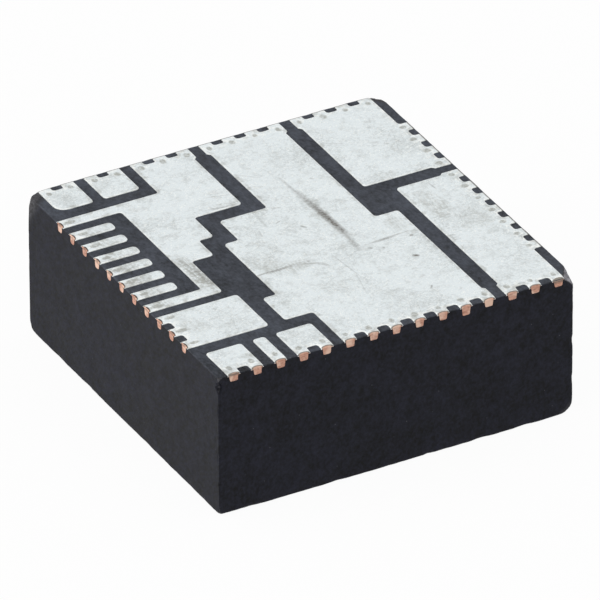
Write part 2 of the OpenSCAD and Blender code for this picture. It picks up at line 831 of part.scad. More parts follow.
moulded_body();
corner_pad_back_left();
double_pad_back_left();
angled_pad();
signal_pad(1);  // signal_pad_1
signal_pad(2);  // signal_pad_2
signal_pad(3);  // signal_pad_3
signal_pad(4);  // signal_pad_4
signal_pad(5);  // signal_pad_5
signal_pad(6);  // signal_pad_6
side_pad();
corner_pad_front_left();
slim_pad_front();
double_pad_front();
centre_pad();
right_pad();
back_right_pad();
inductor_core_cup();
inductor_core_plate();
inductor_coil();
controller_die();
die_attach_film();
low_side_switch_die();
high_side_switch_die();
switch_clip();
input_clip();
input_capacitors();
input_capacitor_ends();
output_capacitors();
output_capacitor_ends();
small_capacitors();
small_capacitor_ends();
resistors();
resistor_ends();
bond_wires();
solder_joints();
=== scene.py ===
import math

import bpy
import numpy as np
from mathutils import Matrix, Vector
from mathutils.geometry import delaunay_2d_cdt


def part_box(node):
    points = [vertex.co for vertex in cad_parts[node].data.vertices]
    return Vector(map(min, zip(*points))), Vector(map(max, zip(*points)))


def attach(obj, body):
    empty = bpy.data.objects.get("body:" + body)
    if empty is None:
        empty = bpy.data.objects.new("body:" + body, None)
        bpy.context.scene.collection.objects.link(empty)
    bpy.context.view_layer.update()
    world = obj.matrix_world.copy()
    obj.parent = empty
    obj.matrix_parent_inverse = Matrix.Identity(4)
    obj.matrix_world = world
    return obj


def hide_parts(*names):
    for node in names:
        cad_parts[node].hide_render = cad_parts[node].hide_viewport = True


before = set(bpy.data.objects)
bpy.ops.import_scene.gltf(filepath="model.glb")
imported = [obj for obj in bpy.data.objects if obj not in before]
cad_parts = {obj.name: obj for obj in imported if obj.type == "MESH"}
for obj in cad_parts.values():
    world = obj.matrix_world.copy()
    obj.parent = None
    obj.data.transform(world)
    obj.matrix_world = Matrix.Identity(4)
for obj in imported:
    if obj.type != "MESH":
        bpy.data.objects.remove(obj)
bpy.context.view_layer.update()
print("frame loaded:", len(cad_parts), "nodes")

# Lengths below are in millimetres unless a note says otherwise. Blender gets them in metres.
mm = 0.001

bodyHigh = np.array(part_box("moulded_body")[1]) / mm
bodyTop = float(bodyHigh[2])  # the mould between the pads
sideX, sideY = float(bodyHigh[0]), float(bodyHigh[1])  # the sawn faces
frameBottom, padTop = (float(corner[2]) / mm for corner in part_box("centre_pad"))
leadPitch = 0.65
lastLead = int(sideX / leadPitch)  # the outermost lead in front, counted from the middle one
inFace = 0.002  # a point this close to a sawn face lies in it


# Noise from lattice values: each lattice corner gets a fixed number from the sine of its index,
# and a point blends its cell's eight corners with smoothstep weights. The result is in -1..1, and
# cell is the width of a cell.
def latticeNoise(points, cell, seed):
    scaled = np.asarray(points, float) / cell + 100.0 + 17.31 * seed
    base = np.floor(scaled)
    part = scaled - base
    part = part * part * (3 - 2 * part)
    total = np.zeros(scaled.shape[:-1])
    for corner in np.ndindex(2, 2, 2):
        at = base + corner
        wave = np.sin(at @ np.array([12.9898, 78.233, 37.719]) + seed) * 43758.5453
        weight = np.prod(np.where(corner, part, 1 - part), axis=-1)
        total += weight * (wave - np.floor(wave))
    return 2 * total - 1


def smooth(t):  # smoothstep of t held to 0..1
    t = np.clip(t, 0, 1)
    return t * t * (3 - 2 * t)


# A mesh object at the origin from points in millimetres and lists of faces
def meshPiece(name, points, faces, attributes=None):
    mesh = bpy.data.meshes.new(name)
    mesh.from_pydata((np.asarray(points) * mm).tolist(), [], faces)
    mesh.validate()
    mesh.polygons.foreach_set("use_smooth", np.ones(len(mesh.polygons), bool))
    for key, values in (attributes or {}).items():
        layer = mesh.attributes.new(key, "FLOAT", "POINT")
        layer.data.foreach_set("value", np.asarray(values, np.float32))
    mesh.update()
    piece = bpy.data.objects.new(name, mesh)
    bpy.context.scene.collection.objects.link(piece)
    return piece


# Quads between the rings of a tube whose points are numbered ring by ring. following gives each
# point's next one round its ring.
def tubeQuads(rings, following):
    n = len(following)
    j = np.arange(n)
    i = np.arange(rings - 1)[:, None] * n
    return np.stack([i + j, i + following, i + n + following, i + n + j], -1).reshape(-1, 4)


# Faces of a tube that runs to a pole at either end: its quads, and a fan round each pole. The poles
# are the two points that come after those of the rings.
def closedTube(rings, n):
    j = np.arange(n)
    k = (j + 1) % n
    last = (rings - 1) * n
    lowFan = np.stack([k, j, np.full(n, last + n)], -1)
    highFan = np.stack([last + j, last + k, np.full(n, last + n + 1)], -1)
    return tubeQuads(rings, k), np.concatenate([lowFan, highFan])


# Wraps a socket of a material. Sums on values add Math nodes, and node() adds any other node.
class Sock:
    def __init__(self, tree, socket):
        self.tree, self.socket = tree, socket

    # kind is the node's type, settings are set first, inputs are fed by name or number
    def node(self, kind, settings, inputs, out=0):
        made = self.tree.nodes.new("ShaderNode" + kind)
        for key, value in settings.items():
            setattr(made, key, value)
        for key, value in inputs.items():
            if isinstance(value, Sock):
                self.tree.links.new(value.socket, made.inputs[key])
            elif value is not None:
                made.inputs[key].default_value = value
        return Sock(self.tree, made.outputs[out])

    def math(self, operation, first, second=None, third=None, clamp=False):
        fed = {0: first, 1: second, 2: third}
        return self.node("Math", {"operation": operation, "use_clamp": clamp}, fed)

    def __add__(self, other):
        return self.math("ADD", self, other)

    def __radd__(self, other):
        return self.math("ADD", other, self)

    def __sub__(self, other):
        return self.math("SUBTRACT", self, other)

    def __rsub__(self, other):
        return self.math("SUBTRACT", other, self)

    def __mul__(self, other):
        return self.math("MULTIPLY", self, other)

    def __rmul__(self, other):
        return self.math("MULTIPLY", other, self)

    def __truediv__(self, other):
        return self.math("DIVIDE", self, other)

    def __rtruediv__(self, other):
        return self.math("DIVIDE", other, self)

    def __pow__(self, other):
        return self.math("POWER", self, other)

    def __rpow__(self, other):
        return self.math("POWER", other, self)

    def __abs__(self):
        return self.math("ABSOLUTE", self)

    # The greater of this value and another
    def most(self, other):
        return self.math("MAXIMUM", self, other)

    # The smaller of this value and another
    def least(self, other):
        return self.math("MINIMUM", self, other)

    # 0 where the value is at low, 1 where it is at high, with a soft start and end between
    def ramp(self, low, high):
        span = {"interpolation_type": "SMOOTHSTEP"}
        return self.node("MapRange", span, {0: self, 1: low, 2: high, 3: 0.0, 4: 1.0})

    # This colour, each of its channels times a number
    def times(self, tone):
        grey = self.node("CombineColor", {}, {0: tone, 1: tone, 2: tone})
        kind = {"data_type": "RGBA", "blend_type": "MULTIPLY"}
        return self.node("Mix", kind, {0: 1.0, 6: self, 7: grey}, out=2)

    # This value is the share of colour b over colour a
    def mix(self, a, b):
        kind = {"data_type": "RGBA"}
        a, b = (c if isinstance(c, Sock) else (*c, 1) for c in (a, b))
        return self.node("Mix", kind, {0: self, 6: a, 7: b}, out=2)


# A new material: gives it, its Principled node and the place on the piece in millimetres
def newMaterial(name):
    material = bpy.data.materials.new(name)
    material.use_nodes = True
    tree = material.node_tree
    tree.nodes.clear()
    start = Sock(tree, None)
    output = tree.nodes.new("ShaderNodeOutputMaterial")
    shader = tree.nodes.new("ShaderNodeBsdfPrincipled")
    tree.links.new(shader.outputs[0], output.inputs[0])
    place = start.node("TexCoord", {}, {}, out="Object")
    place = start.node("VectorMath", {"operation": "SCALE"}, {0: place, "Scale": 1 / mm})
    return material, shader, place


# Noise of a material at so many grains a millimetre. long gives how many times longer a grain is
# along each axis, turn how those axes are turned, and shift moves the pattern.
def grain(place, perMm, detail=2.0, roughness=0.5, long=(1, 1, 1), turn=(0, 0, 0), shift=0.0):
    if long != (1, 1, 1) or shift:
        place = place.node("Mapping", {"vector_type": "TEXTURE"}, {
            "Vector": place, "Location": (shift, 2 * shift, 0), "Rotation": turn, "Scale": long})
    return place.node("TexNoise", {}, {
        "Vector": place, "Scale": perMm, "Detail": detail, "Roughness": roughness})


def axes(place):
    split = place.node("SeparateXYZ", {}, {0: place})
    outputs = split.socket.node.outputs
    return [Sock(place.tree, outputs[k]) for k in range(3)]


def link(shader, **sockets):
    names = {"colour": "Base Color", "rough": "Roughness", "metal": "Metallic", "normal": "Normal"}
    for key, value in sockets.items():
        socket = shader.inputs[names.get(key, key.replace("_", " "))]
        if isinstance(value, Sock):
            value.tree.links.new(value.socket, socket)
        else:
            socket.default_value = value


# height is in millimetres and the Bump node wants metres
def bump(height, strength=1.0):
    return height.node("Bump", {}, {"Height": height, "Distance": mm, "Strength": strength})


# The filled epoxy: nearly black, sawn on the sides and smooth on top. A broken or worn place shows
# paler, rough filler, which on the rounded edges and the broken tips is partly a painted highlight.
mouldLook = {
    "sawn": (0.0076, 0.0081, 0.0132), "moulded": (0.0445, 0.0500, 0.0630),
    "broken": (0.032, 0.032, 0.036), "worn": (0.155, 0.152, 0.162), "filler": (0.22, 0.22, 0.23),
    # The next colour is a painted highlight on the break at the front right tip
    "freshBreak": (0.42, 0.41, 0.45),
    "specularLevel": 0.13,
    "topFrom": 0.035, "topFull": 0.015,     # the smooth top's finish, by the distance below it
    "leftFrom": 0.05, "leftFull": 0.02,     # the left side's, by the distance from it
    # The front left corner: its reach squared, duller on top, and paler on the left at these heights
    "cornerSquare": 2.2, "cornerDull": 0.42, "cornerPale": 0.16, "cornerRise": (2.6, 3.6),
    # Grains of filler and dust: cells a millimetre, size of a grain and how strong it is
    "speckCells": 3.4, "speckSize": (0.055, 0.02), "speckShare": 0.55,
    "grains": ((1.1, 0.0), (4.0, 2.0), (12.0, 5.0)),    # how many a millimetre, and the shift
}


def mouldMaterial():
    look = mouldLook
    material, shader, place = newMaterial("mouldCompound")
    x, y, z = axes(place)
    worn = place.node("Attribute", {"attribute_name": "worn"}, {}, out="Fac")
    # Its grain is drawn out aslant on the left and right sides
    cloud, patch, fine = (grain(place, perMm, 3.0, 0.65, (1, 2.2, 1), (-0.61, 0, 0), shift)
                          for perMm, shift in look["grains"])
    onTop = z.ramp(bodyTop - look["topFrom"], bodyTop - look["topFull"])
    colour = onTop.mix(look["sawn"], look["moulded"])
    colour = worn.ramp(0.0, 0.4).mix(colour, look["broken"])
    # The left side is mottled a little more, and paler towards its top
    left = (0 - x).ramp(sideX - look["leftFrom"], sideX - look["leftFull"])
    clouds, patches, specks = (noise.ramp(0.3, 0.7) for noise in (cloud, patch, fine))
    mottle = 1.2 * specks + 0.7 * patches + 0.5 * clouds - 1.2
    tone = 1 + mottle * (1 + 0.3 * left - 0.42 * onTop) + left * (0.060 * z + 0.012 * y)
    tone = tone + onTop * 0.26 * (cloud.ramp(0.32, 0.68) - 0.5)
    # By the front left corner the top is duller and the side paler
    offX, offY = x + sideX, y + sideY
    corner = (offX * offX + offY * offY).ramp(look["cornerSquare"], 0.0)
    tone = tone - onTop * look["cornerDull"] * corner
    tone = tone + left * look["cornerPale"] * corner * z.ramp(*look["cornerRise"])
    colour = colour.times(tone)
    # Sparse grains of filler and dust that catch the light
    scattered = {"Vector": place, "Scale": look["speckCells"]}
    cells = place.node("TexVoronoi", {"feature": "F1"}, scattered)
    speck = (cells - 0.10 * worn).ramp(*look["speckSize"]) * fine.ramp(0.42, 0.62)
    colour = (speck * look["speckShare"]).mix(colour, look["filler"])
    # Worn edges and breaks turn to paler filler, partly a painted highlight where they catch the
    # light
    edge = worn.ramp(0.35, 1.0) * (0.30 + 0.70 * fine.ramp(0.40, 0.60))
    colour = edge.mix(colour, look["worn"])
    # A brighter painted highlight on the break at the front right tip, whose wear is above 1
    breakHighlight = worn.ramp(1.0, 1.4) * (0.25 + 0.60 * patch.ramp(0.42, 0.60))
    colour = breakHighlight.mix(colour, look["freshBreak"])
    height = 0.0040 * fine + 0.010 * patch + 0.03 * cloud
    link(shader, colour=colour, rough=0.38 + 0.24 * fine + 0.12 * cloud, normal=bump(height))
    link(shader, metal=0.0, Specular_IOR_Level=look["specularLevel"])
    return material


# Plated lead frame: matt tin on the faces, bare copper where the saw went through
tinLook = {
    # The third colour is a painted highlight on the tin
    "tin": (0.748, 0.800, 0.815), "dull": (0.525, 0.560, 0.560), "bright": (0.90, 0.92, 0.90),
    # The stain colour also paints shade along the pads' borders
    "stain": (0.36, 0.365, 0.335), "scratch": (0.15, 0.14, 0.125),
    # The rolled strip's colours in front and on the left are oxide with painted shade
    "rolled": (0.25, 0.225, 0.195), "rolledLeft": (0.07, 0.050, 0.038),
    "rolledBack": (0.22, 0.215, 0.205),
    "copper": (0.68, 0.39, 0.29), "copperPale": (0.80, 0.56, 0.44), "copperDark": (0.40, 0.20, 0.145),
    # The last colour is a dark band at the top of the sawn ends: a smeared burr, and painted shade on
    # the left ends
    "burr": (0.20, 0.16, 0.13),
    "topFrom": 0.014, "topFull": 0.008,     # where marks may lie, by the distance below the top
}
# How the tin ends at a saw cut. Each pair of distances says where a finish starts and is full: from
# the sawn side inwards, across a lead from its middle, or down from the top.
cutLook = {
    "strip": (0.082, 0.066), "stripAcross": (0.160, 0.145), "farStrip": (0.080, 0.050),
    "copper": (0.046, 0.036), "copperAcross": (0.138, 0.128), "copperLeft": 0.008,
    "endDown": (0.044, 0.054), "endInwards": (0.040, 0.030),
    "nearSide": (0.14, 0.12),   # how close to the front or left side a place belongs to it
    "smeared": (0.60, 0.75),    # the last lead at the right is smeared over, by this from the corner
    "arch": 1.6,
}
# Marks of handling on the large pads, given one by one: both ends, width and strength
handlingMarks = [
    ((0.84, 2.65), (0.95, 0.7), 0.07, 0.40),
    ((0.90, 1.95), (1.01, -0.80), 0.15, 0.62),
    ((0.94, 1.25), (1.01, -0.75), 0.16, 1.00),
    ((1.00, -0.45), (0.92, -1.50), 0.12, 0.45),
    ((1.10, -1.28), (2.50, -1.19), 0.05, 0.45),
    ((1.40, -1.27), (2.05, -1.23), 0.08, 0.65),
    ((-2.20, -1.27), (-0.60, -1.23), 0.05, 0.55),
    ((-1.60, -1.28), (-0.80, -1.25), 0.08, 0.60),
    ((-0.48, -1.26), (-0.38, -1.28), 0.06, 0.55),
    ((-0.35, -1.36), (0.00, -1.78), 0.07, 0.30),
    ((-0.80, 0.62), (-0.88, 0.30), 0.04, 0.35),
    ((2.35, -1.39), (2.45, -1.44), 0.07, 0.75),
    ((1.47, -1.58), (1.54, -1.64), 0.06, 0.40),
    ((-0.90, -1.21), (-0.10, -1.52), 0.045, 0.35),
    ((0.22, -1.25), (0.35, -2.60), 0.035, 0.30),
    ((0.34, -2.20), (0.08, -3.35), 0.035, 0.25),
    ((1.94, -2.26), (2.11, -2.36), 0.08, 0.95),
    ((1.58, -3.87), (1.69, -3.73), 0.045, 0.75),
    ((3.98, 0.60), (4.02, 0.20), 0.04, 0.40),
    ((-0.15, 3.35), (0.40, 2.85), 0.035, 0.25),
    ((2.60, 3.50), (3.10, 3.25), 0.03, 0.30),
    ((-1.45, 2.08), (-0.62, 1.97), 0.06, 0.35),
    ((-1.29, 2.65), (-0.60, 2.48), 0.04, 0.25),
    ((-0.52, 1.34), (-0.56, 0.62), 0.06, 0.25),
    ((-0.05, 1.42), (0.20, 1.30), 0.04, 0.35),
    ((1.50, 2.22), (1.58, 2.12), 0.05, 0.40),
    ((-0.28, 0.70), (-0.12, 0.76), 0.035, 0.40),
    ((0.19, 0.31), (0.31, 0.15), 0.05, 0.55),
    ((1.15, -1.41), (1.26, -1.50), 0.07, 0.60),
    ((-3.22, 0.45), (-2.97, -1.30), 0.09, 0.35),
    ((-3.02, 0.10), (-3.10, -1.35), 0.06, 0.30),
]
# Smudges: centre, size along X and Y, and strength
smudges = [
    ((-3.15, -0.42), (0.27, 1.2), 0.95),
    ((-4.50, 0.35), (0.38, 3.6), 0.45),
    ((-4.35, -2.6), (0.4, 0.5), 0.35),
    ((-2.5, -1.35), (0.6, 0.16), 0.5),
    ((0.93, 0.5), (0.30, 1.6), 0.30),
    ((2.35, -0.75), (0.35, 0.45), 0.45),
    ((-0.95, -1.3), (0.8, 0.35), 0.45), ((-1.45, -0.85), (0.55, 0.5), 0.35),
    ((-1.08, 0.05), (0.25, 0.2), 0.3), ((2.5, -1.28), (0.25, 0.15), 0.35),
    ((-0.5, -2.6), (0.6, 0.3), 0.3),
    ((-1.2, 2.1), (0.9, 0.16), 0.35),
    ((3.62, -0.5), (0.42, 1.0), 0.45), ((4.2, -1.4), (0.5, 0.7), 0.25),
    ((-4.4, -4.75), (0.5, 0.2), 0.45), ((-3.88, -4.40), (0.25, 0.15), 0.45),
    ((3.3, -4.2), (0.5, 0.3), 0.25),
    ((3.2, 1.35), (0.5, 0.25), 0.3),
]


# How much of a stroke from a to b covers this place: 1 on its line at the middle, fading to its
# width and to both ends
def stroke(x, y, a, b, width):
    (ax, ay), (dx, dy) = a, (b[0] - a[0], b[1] - a[1])
    square = dx * dx + dy * dy
    along = x.math("MULTIPLY_ADD", x - ax, dx / square, (y - ay) * (dy / square), clamp=True)
    offX, offY = x - ax - along * dx, y - ay - along * dy
    away = (offX * offX + offY * offY) ** 0.5
    return away.ramp(width, 0.0) * (along * (1 - along) * 4) ** 0.6


def tinMaterial():
    material, shader, place = newMaterial("tinnedLeadFrame")
    x, y, z = axes(place)
    rim, dent, burr = (
        place.node("Attribute", {"attribute_name": key}, {}, out="Fac")
        for key in ("rim", "dent", "burr"))
    cloud = grain(place, 0.8, 4.0, 0.6)
    blotch = grain(place, 3.2, 3.0, 0.6, shift=3.0)
    crystal = grain(place, 13.0, 3.0, 0.7)
    fleck = grain(place, 30.0, 1.0, 0.5, shift=1.0)
    # Fine rubbing marks that cross each other at three angles
    rubs = [grain(place, 1.0, 2.0, 0.5, (0.8, 0.05, 1.0), (0, 0, turn), turn)
            for turn in (0.35, 1.25, 2.4)]
    rub = (rubs[0].ramp(0.60, 0.68) + rubs[1].ramp(0.62, 0.70) + rubs[2].ramp(0.62, 0.70)).least(1.0)
    spots = grain(place, 7.0, 2.0, 0.6, shift=4.0)
    dullness = (cloud.ramp(0.35, 0.75) * 0.50 + blotch.ramp(0.38, 0.72) * 0.20
                + rub * cloud.ramp(0.42, 0.60) * 0.36
                + spots.ramp(0.38, 0.72) * 0.26 + crystal.ramp(0.36, 0.70) * 0.52 - 0.40)
    colour = dullness.math("MULTIPLY", dullness, 1.0, clamp=True).mix(tinLook["tin"], tinLook["dull"])
    # Painted highlights: bright flecks, a bright line where the edges of the pads are rounded, and
    # bright spots near the sawn sides
    edgeX, edgeY = sideX - abs(x), sideY - abs(y)
    glint = (fleck.ramp(0.58, 0.68) * 0.8 + rim.ramp(0.80, 0.97) * 0.6
             + edgeX.least(edgeY).ramp(0.50, 0.25) * spots.ramp(0.48, 0.60) * 0.7)
    colour = glint.least(1.0).mix(colour, tinLook["bright"])
    # Brown tarnish in blotches, in the dents and where the smudges are, and painted shade in patches
    # along the pads' borders
    dented = (dent * (0.4 + 1.2 * blotch)).ramp(0.05, 0.75)
    tarnishAndShade = (blotch.ramp(0.50, 0.75) * 0.18 + rim.ramp(0.1, 0.6) * blotch.ramp(0.42, 0.66) * 0.35
               + dented * (0.4 + 0.6 * crystal.ramp(0.35, 0.65)))
    brushed = grain(place, 1.0, 3.0, 0.6, (0.06, 0.6, 1.0))
    soiled = (0.2 * blotch + 0.4 * crystal + 0.4 * brushed).ramp(0.36, 0.60)
    for (cx, cy), (wide, deep), strength in smudges:
        offX, offY = (x - cx) / wide, (y - cy) / deep
        spread = (offX * offX + offY * offY).ramp(1.0, 0.0)
        tarnishAndShade = tarnishAndShade + spread * soiled * strength
    colour = tarnishAndShade.least(0.85).mix(colour, tinLook["stain"])
    marks = None
    for a, b, width, strength in handlingMarks:
        one = stroke(x, y, a, b, width) * strength
        marks = one if marks is None else marks.most(one)
    onTop = z.ramp(padTop - tinLook["topFrom"], padTop - tinLook["topFull"])
    marks = marks * (0.70 + 0.45 * (0.8 * crystal + 0.2 * fleck).ramp(0.36, 0.64)) * onTop
    colour = marks.least(1.0).mix(colour, tinLook["scratch"])
    # The tin ends short of the saw cut, in an arch over each lead: first a rolled dark strip, then
    # copper. In front and on the left the strip's dark colour is oxide with painted shade of the
    # rolled shoulder, darkest on the left. On the back and the right the whole strip is rolled grey.
    onX = (edgeY - edgeX).ramp(-0.01, 0.01)
    acrossX, acrossY = (abs(v.math("WRAP", v, leadPitch / 2, -leadPitch / 2)) for v in (x, y))
    across = onX * acrossY + (1 - onX) * acrossX
    toSide = edgeX.least(edgeY) + 0.02 * (blotch - 0.5) + 0.025 * (crystal - 0.5)
    arch = toSide + cutLook["arch"] * across * across
    starts, full = (sideX - away for away in cutLook["nearSide"])
    near = (0 - x).most(0 - y).ramp(starts, full)
    left = (0 - x).ramp(starts, full)
    strip = arch.ramp(*cutLook["strip"]) * across.ramp(*cutLook["stripAcross"]) * near
    strip = strip.most(toSide.ramp(*cutLook["farStrip"]) * (1 - near))
    rolled = near.mix(tinLook["rolledBack"], left.mix(tinLook["rolled"], tinLook["rolledLeft"]))
    colour = strip.mix(colour, rolled)
    # Copper of the sawn ends: paler in patches, streaked by the saw
    streak = grain(place, 1.0, 3.0, 0.6, (0.11, 0.11, 0.038))
    copper = streak.ramp(0.35, 0.75).mix(tinLook["copper"], tinLook["copperDark"])
    copper = blotch.ramp(0.45, 0.62).mix(copper, tinLook["copperPale"])
    copper = copper.times(0.80 + 0.28 * left)  # paler on the left
    cut = (arch - cutLook["copperLeft"] * left).ramp(*cutLook["copper"])
    cut = cut * across.ramp(*cutLook["copperAcross"]) * near
    cut = cut * x.ramp(*(sideX - away for away in cutLook["smeared"]))
    bare = cut.most((padTop - z).ramp(*cutLook["endDown"]) * toSide.ramp(*cutLook["endInwards"]))
    colour = bare.mix(colour, copper)
    # The dark band at the top of the sawn ends: a smeared burr on the last leads, painted shade on
    # the left ones
    colour = burr.least(1.0).mix(colour, tinLook["burr"])
    rough = 0.44 + 0.16 * crystal + 0.10 * tarnishAndShade + 0.15 * burr
    height = 0.0022 * crystal + 0.0010 * fleck + 0.004 * cloud - 0.0015 * rub - 0.004 * marks
    metal = 0.55 + 0.40 * bare - 0.50 * burr
    link(shader, colour=colour, rough=rough, metal=metal, normal=bump(height, 0.8))
    return material


# Finishes of the sealed pieces: two colours mixed by a grain, its scale, roughness and metal
innerLooks = {
    "ferrite": ((0.030, 0.031, 0.034), (0.055, 0.056, 0.060), 6.0, 0.62, 0.0),
    "coil_wire": ((0.62, 0.26, 0.12), (0.48, 0.18, 0.08), 5.0, 0.34, 0.9),
    "silicon": ((0.12, 0.135, 0.155), (0.17, 0.185, 0.205), 9.0, 0.28, 0.4),
    "die_attach": ((0.58, 0.55, 0.46), (0.68, 0.65, 0.56), 8.0, 0.55, 0.0),
    "bare_copper": ((0.75, 0.38, 0.24), (0.60, 0.28, 0.17), 4.0, 0.36, 1.0),
    "ceramic": ((0.44, 0.30, 0.19), (0.52, 0.37, 0.24), 7.0, 0.5, 0.0),
    "plated_ends": ((0.66, 0.67, 0.67), (0.54, 0.54, 0.53), 12.0, 0.42, 1.0),
    "resistor_body": ((0.018, 0.019, 0.022), (0.035, 0.036, 0.040), 9.0, 0.45, 0.0),
    "bond_wire": ((0.80, 0.62, 0.30), (0.70, 0.52, 0.24), 9.0, 0.28, 1.0),
    "solder": ((0.56, 0.57, 0.58), (0.43, 0.43, 0.43), 10.0, 0.40, 1.0),
}


def innerMaterial(slot):
    first, second, perMm, rough, metal = innerLooks[slot]
    material, shader, place = newMaterial(slot)
    coarse, fine = grain(place, perMm, 3.0, 0.6), grain(place, 5 * perMm, 2.0, 0.5)
    link(shader, colour=coarse.ramp(0.3, 0.7).mix(first, second), metal=metal,
         rough=rough - 0.06 + 0.12 * fine, normal=bump(0.003 * fine + 0.002 * coarse))
    return material


materials = {"mould_compound": mouldMaterial(), "tinned_lead_frame": tinMaterial()}
materials.update({slot: innerMaterial(slot) for slot in innerLooks})
print("materials:", len(materials))

# The sawn block. A tip is given by its signs along X, Y and Z, by how much is missing along each of
# the three edges that meet there, by how softly the break runs into the faces, and by its wear. Wear
# pales a break, partly as a painted highlight, and wear above 1 paints a brighter highlight.
mouldShape = {
    "inset": 0.003,      # the sawn copper stands this far out of the mould
    # Radius of the sawn edges, how much it wanders, and how far down, as a share of that
    "edge": 0.011, "edgeVary": 0.010, "wanderLeast": -0.8,
    # Added radius of the edges of the underside, more on the left, and of two upright edges
    "footEdge": 0.075, "footLeft": 0.05, "footLeftReach": 1.5, "footReach": 0.35,
    "uprightEdge": 0.045, "uprightReach": 0.3,
    "fineReach": 0.6, "fineLines": 28, "coarseStep": 0.11,
    "poleGap": 0.02,     # no row nearer to a pole than this share of the way to the edge
    # Depth of the fine relief and of the wide waves, and the roughness of a break
    "relief": 0.0022, "swell": 0.003, "chip": 0.012,
    # Wear of the edges, which pales them partly as a painted highlight, the most wear of all, and how
    # deep a break is fully worn
    "edgeWear": 2.5, "mostWear": 1.5, "wornDepth": 0.015,
    "biteSpread": 1.3, "biteRagged": 0.35,  # a bite's radius in reaches, and how ragged it is
    "tips": [
        ((-1, 1, 1), (0.20, 0.17, 0.26), 0.10, 0.6),
        ((1, -1, 1), (0.30, 0.48, 0.28), 0.02, 1.5),
        ((1, 1, 1), (0.27, 0.30, 0.18), 0.05, 0.6),
        ((-1, -1, 1), (0.15, 0.10, 0.12), 0.01, 0.5),
        ((1, -1, -1), (0.285, 0.33, 0.24), 0.06, 0.3),
        ((-1, 1, -1), (0.195, 0.24, 0.225), 0.04, 0.2),
        ((-1, -1, -1), (0.15, 0.09, 0.12), 0.02, 0.2),
        ((1, 1, -1), (0.12, 0.105, 0.105), 0.03, 0.2),
    ],
    # Small bites out of the edges: place, reach and depth
    "bites": [
        ((-5, -5, 3.72), 0.12, 0.075), ((-5, -5, 3.05), 0.05, 0.02), ((-5, -5, 1.70), 0.09, 0.022),
        ((-5, -5, 0.90), 0.06, 0.02), ((-4.1, -5, 0), 0.16, 0.016), ((-1.7, -5, 0), 0.25, 0.014),
        ((0.9, -5, 0), 0.14, 0.018), ((2.4, -5, 0), 0.2, 0.016), ((3.6, -5, 0), 0.25, 0.018),
        ((-5, -3.4, 0), 0.25, 0.010), ((-5, -1.2, 0), 0.2, 0.008), ((-5, 1.9, 0), 0.25, 0.010),
        ((-5, 3.4, 0), 0.2, 0.010), ((5, -5, 2.1), 0.14, 0.018), ((5, -5, 1.0), 0.1, 0.016),
        ((5, 1.0, 0), 0.2, 0.02), ((5, 3.3, 0), 0.14, 0.02), ((-2.0, 5, 0), 0.18, 0.02),
        ((1.5, 5, 0), 0.2, 0.02),
    ],
}


# Places from -half to half that crowd at both ends: the distance from the end grows with t squared
def crowdedLines(half, shape):
    near = shape["fineReach"] * np.linspace(0, 1, shape["fineLines"]) ** 2.0
    count = int(round((2 * half - 2 * shape["fineReach"]) / shape["coarseStep"]))
    middle = np.linspace(-half + shape["fineReach"], half - shape["fineReach"], count + 1)[1:-1]
    return np.concatenate([-half + near, middle, half - near[::-1]])


# A tip is lost beyond a plane. What lies beyond it by b is moved back onto it, by the mean of b and
# the root of b squared plus softness squared, which rounds the rims of the break. Before the plane
# the move fades out, between one and six times the softness. Gives the points and how worn each is;
# the wear also sets the painted highlight on the break.
def brokenTips(points):
    worn = np.zeros(points.shape[:-1])
    rough = latticeNoise(points, 0.07, 3) + 0.5 * latticeNoise(points, 0.03, 4)
    for signs, lost, softness, wear in mouldShape["tips"]:
        normal = np.array(signs) / np.array(lost)
        depth = 1 / np.linalg.norm(normal)
        normal = normal * depth
        tip = np.where(np.array(signs) > 0, [sideX, sideY, bodyTop], [-sideX, -sideY, 0])
        beyond = (points - tip) @ normal + depth
        beyond += mouldShape["chip"] * rough * smooth(1 + beyond / depth)
        gone = (beyond + np.sqrt(beyond ** 2 + softness ** 2)) / 2
        gone *= smooth((beyond + 6 * softness) / (5 * softness))
        points = points - gone[..., None] * normal
        worn = np.maximum(worn, wear * smooth(gone / mouldShape["wornDepth"]))
    return points, worn


# The sharp block is one grid: u runs round the square, v from the middle of the underside over its
# edge, up the side, over the top edge and to the middle of the top
def sharpBlock(half, shape):
    lineX, lineY = crowdedLines(half[0], shape)[:-1], crowdedLines(half[1], shape)[:-1]
    ring = np.concatenate([
        np.stack([lineX, np.full_like(lineX, -half[1])], -1),
        np.stack([np.full_like(lineY, half[0]), lineY], -1),
        np.stack([-lineX, np.full_like(lineX, half[1])], -1),
        np.stack([np.full_like(lineY, -half[0]), -lineY], -1),
    ])
    rise = crowdedLines(half[2], shape)
    inwards = 1 - (lineX + half[0]) / half[0]
    inwards = inwards[(inwards > shape["poleGap"]) & (inwards < 1)]
    scale = np.concatenate([inwards[::-1], np.ones_like(rise), inwards])
    height = np.concatenate([
        np.full_like(inwards, -half[2]), rise, np.full_like(inwards, half[2])])
    return np.concatenate([
        ring[None] * scale[:, None, None],
        np.broadcast_to(height[:, None, None], (len(height), len(ring), 1))], -1)


# Radius of the block's edges at each place: it wanders, and it grows at the foot and at the upright
# edges at the back left and the front right
def edgeRadius(sharp, half, shape):
    wander = latticeNoise(sharp, 0.17, 1) + 0.6 * latticeNoise(sharp, 0.06, 2)
    radius = shape["edge"] + shape["edgeVary"] * np.maximum(wander, shape["wanderLeast"])
    x, y, z = np.moveaxis(sharp, -1, 0)
    foot = shape["footEdge"] + shape["footLeft"] * smooth(-x - half[0] + shape["footLeftReach"])
    radius += foot * smooth(1 - (z + half[2]) / shape["footReach"])
    for sign in (1, -1):  # back left, then front right
        away = np.hypot(x + sign * half[0], y - sign * half[1])
        radius += shape["uprightEdge"] * smooth(1 - away / shape["uprightReach"])
    return radius[..., None]


